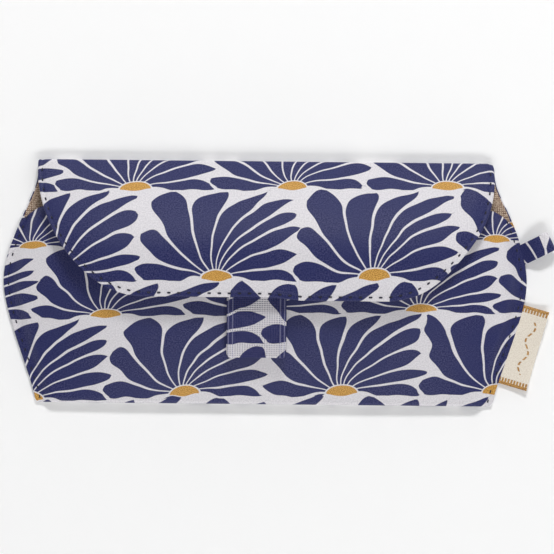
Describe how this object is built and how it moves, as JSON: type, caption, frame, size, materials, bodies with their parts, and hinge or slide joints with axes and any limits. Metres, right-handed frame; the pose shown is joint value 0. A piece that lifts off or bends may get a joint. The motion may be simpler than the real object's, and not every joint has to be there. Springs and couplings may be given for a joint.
{
  "type": "brush roll case",
  "caption": "Slim padded cloth case for art brushes: hexagonal pouch under a wide rounded flap, with an elastic pull tab, a side loop and a woven side label.",
  "frame": {"origin": "centre of the back's flat underside, which rests on the table; the case lies on its back", "axes": "+X to the right along the case as seen from the front, +Y from the bottom fold towards the top fold, +Z out of the front"},
  "size_m": [0.2384, 0.1048, 0.0282],
  "materials": {
    "printed_cloth": "coated cotton, navy petals on off-white with gold centres, satin sheen",
    "wadding": "soft matt polyester wadding, hidden",
    "lining_cloth": "matt brown and beige woven cloth",
    "snap_metal": "nickel plated",
    "thread": "dark navy polyester thread",
    "printed_elastic": "knitted elastic with the same print, coarse ribs",
    "label_weave": "cream satin weave with gold end bands"
  },
  "bodies": {
    "case": {"back_outer_panel": "printed_cloth", "back_wadding": "wadding", "back_lining": "lining_cloth", "front_outer_panel": "printed_cloth", "front_wadding": "wadding", "front_lining": "lining_cloth", "front_snap_stud": "snap_metal", "front_snap_washer": "snap_metal", "top_fold_outer": "printed_cloth", "top_fold_lining": "lining_cloth", "left_side_topstitching": "thread", "right_side_topstitching": "thread"},
    "flap": {"flap_outer_panel": "printed_cloth", "flap_wadding": "wadding", "flap_lining": "lining_cloth", "flap_snap_socket": "snap_metal", "flap_snap_washer": "snap_metal", "flap_topstitching": "thread"},
    "pull_tab": {"elastic_pull_tab": "printed_elastic"},
    "side_loop": {"side_loop": "printed_cloth"},
    "woven_label": {"woven_label": "label_weave"}
  },
  "joints": [
    {"name": "flap_hinge", "type": "hinge", "parent": "case", "child": "flap", "pos_m": [0, 0.04975, 0.00265], "axis": [-1, 0, 0], "range_deg": [0, 138], "deforming": ["top_fold_outer", "top_fold_lining"]},
    {"name": "pull_tab_swing", "type": "hinge", "parent": "flap", "child": "pull_tab", "pos_m": [-0.0034, -0.0071, 0.022], "axis": [-1, 0, 0], "range_deg": [0, 80]},
    {"name": "side_loop_swing", "type": "hinge", "parent": "case", "child": "side_loop", "pos_m": [0.112, 0.0136, 0.0035], "axis": [0.4226, -0.9063, 0], "range_deg": [0, 80]},
    {"name": "woven_label_swing", "type": "hinge", "parent": "case", "child": "woven_label", "pos_m": [0.11297, -0.0096, 0.00075], "axis": [-0.3282, -0.9446, 0], "range_deg": [0, 90]}
  ]
}
